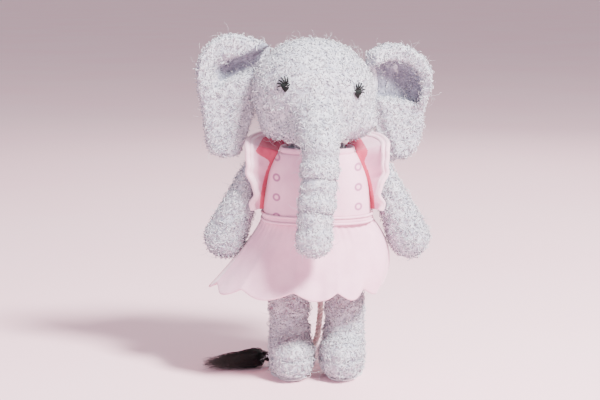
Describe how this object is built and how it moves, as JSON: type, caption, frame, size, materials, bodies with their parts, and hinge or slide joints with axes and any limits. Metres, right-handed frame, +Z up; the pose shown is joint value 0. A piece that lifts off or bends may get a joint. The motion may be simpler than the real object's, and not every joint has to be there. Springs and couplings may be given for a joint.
{
  "type": "stuffed elephant",
  "caption": "Standing stuffed elephant of curly plush in a scalloped dress, with a hinged trunk, ears, arms and legs and a tufted cord tail.",
  "frame": {"origin": "on the floor midway between the two soles, under the neck", "axes": "+Z up, the face looks along -Y, +X towards the elephant's own left"},
  "size_m": [0.1762, 0.1248, 0.2516],
  "materials": {
    "curly_plush": "matte",
    "short_plush": "matte",
    "sole_plush": "matte",
    "polyester_filling": "matte",
    "plastic_pellets": "satin",
    "embroidery_thread": "satin",
    "pink_velour": "matte",
    "pale_trim": "matte",
    "coral_lining": "matte",
    "hook_and_loop_tape": "matte",
    "twisted_cord": "satin",
    "black_binding": "matte",
    "dark_hair": "satin"
  },
  "bodies": {
    "torso": {"torso_front": "curly_plush", "torso_back": "curly_plush", "torso_stuffing": "polyester_filling", "bodice_front": "pink_velour", "bodice_back_left": "pink_velour", "bodice_back_right": "pink_velour", "neck_binding": "pale_trim", "waistband": "pale_trim", "skirt_outer": "pink_velour", "skirt_lining": "coral_lining", "closure_hook_tape": "hook_and_loop_tape", "closure_loop_tape": "hook_and_loop_tape", "flutter_sleeve_left": "pale_trim", "flutter_sleeve_right": "pale_trim", "tail_anchor": "curly_plush", "tail_cord": "twisted_cord", "tuft_binding": "black_binding", "tail_tuft": "dark_hair"},
    "head": {"head_shell": "curly_plush", "head_stuffing": "polyester_filling", "eye_left": "embroidery_thread", "eye_right": "embroidery_thread"},
    "ear_left": {"ear_left_back": "curly_plush", "ear_left_padding": "polyester_filling", "ear_left_lining": "short_plush"},
    "ear_right": {"ear_right_back": "curly_plush", "ear_right_padding": "polyester_filling", "ear_right_lining": "short_plush"},
    "trunk_upper": {"trunk_upper_shell": "curly_plush", "trunk_upper_stuffing": "polyester_filling"},
    "trunk_middle": {"trunk_middle_shell": "curly_plush", "trunk_middle_stuffing": "polyester_filling"},
    "trunk_tip": {"trunk_tip_shell": "curly_plush", "trunk_tip_stuffing": "polyester_filling", "trunk_cap": "curly_plush"},
    "arm_left": {"arm_left_shell": "curly_plush", "arm_left_stuffing": "polyester_filling"},
    "arm_right": {"arm_right_shell": "curly_plush", "arm_right_stuffing": "polyester_filling"},
    "leg_left": {"leg_left_shell": "curly_plush", "leg_left_stuffing": "polyester_filling", "foot_left_shell": "curly_plush", "pellet_bag_left": "plastic_pellets", "sole_left": "sole_plush"},
    "leg_right": {"leg_right_shell": "curly_plush", "leg_right_stuffing": "polyester_filling", "foot_right_shell": "curly_plush", "pellet_bag_right": "plastic_pellets", "sole_right": "sole_plush"}
  },
  "joints": [
    {"name": "head_turn", "type": "hinge", "parent": "torso", "child": "head", "pos_m": [0, 0, 0.1734], "axis": [0, 0, 1], "range_deg": [-12, 12], "stiffness_Nm_per_rad": 0.05},
    {"name": "ear_left_flap", "type": "hinge", "parent": "head", "child": "ear_left", "pos_m": [0.04092, 0.01415, 0.21694], "axis": [0.2223, 0.0346, -0.9744], "range_deg": [-15, 30], "stiffness_Nm_per_rad": 0.01},
    {"name": "ear_right_flap", "type": "hinge", "parent": "head", "child": "ear_right", "pos_m": [-0.04829, 0.00318, 0.2224], "axis": [0.3394, 0.0346, 0.94], "range_deg": [-15, 30], "stiffness_Nm_per_rad": 0.01},
    {"name": "trunk_lift", "type": "hinge", "parent": "head", "child": "trunk_upper", "pos_m": [0.002, -0.0495, 0.1719], "axis": [-1, 0, 0], "range_deg": [0, 25], "stiffness_Nm_per_rad": 0.03},
    {"name": "trunk_curl_upper", "type": "hinge", "parent": "trunk_upper", "child": "trunk_middle", "pos_m": [0.0005, -0.054, 0.1479], "axis": [-1, 0, 0], "range_deg": [0, 25], "stiffness_Nm_per_rad": 0.02},
    {"name": "trunk_curl_lower", "type": "hinge", "parent": "trunk_middle", "child": "trunk_tip", "pos_m": [-0.002, -0.057, 0.1254], "axis": [-1, 0, 0], "range_deg": [0, 25], "stiffness_Nm_per_rad": 0.015},
    {"name": "arm_left_swing", "type": "hinge", "parent": "torso", "child": "arm_left", "pos_m": [0.04555, 0, 0.153], "axis": [-1, 0, 0], "range_deg": [-30, 80], "stiffness_Nm_per_rad": 0.02, "deforming": ["flutter_sleeve_left"]},
    {"name": "arm_right_swing", "type": "hinge", "parent": "torso", "child": "arm_right", "pos_m": [-0.04555, 0, 0.153], "axis": [-1, 0, 0], "range_deg": [-30, 80], "stiffness_Nm_per_rad": 0.02, "deforming": ["flutter_sleeve_right"]},
    {"name": "leg_left_swing", "type": "hinge", "parent": "torso", "child": "leg_left", "pos_m": [0.0205, 0, 0.078], "axis": [-1, 0, 0], "range_deg": [0, 35], "stiffness_Nm_per_rad": 0.6},
    {"name": "leg_right_swing", "type": "hinge", "parent": "torso", "child": "leg_right", "pos_m": [-0.0205, 0, 0.078], "axis": [-1, 0, 0], "range_deg": [0, 35], "stiffness_Nm_per_rad": 0.6}
  ]
}
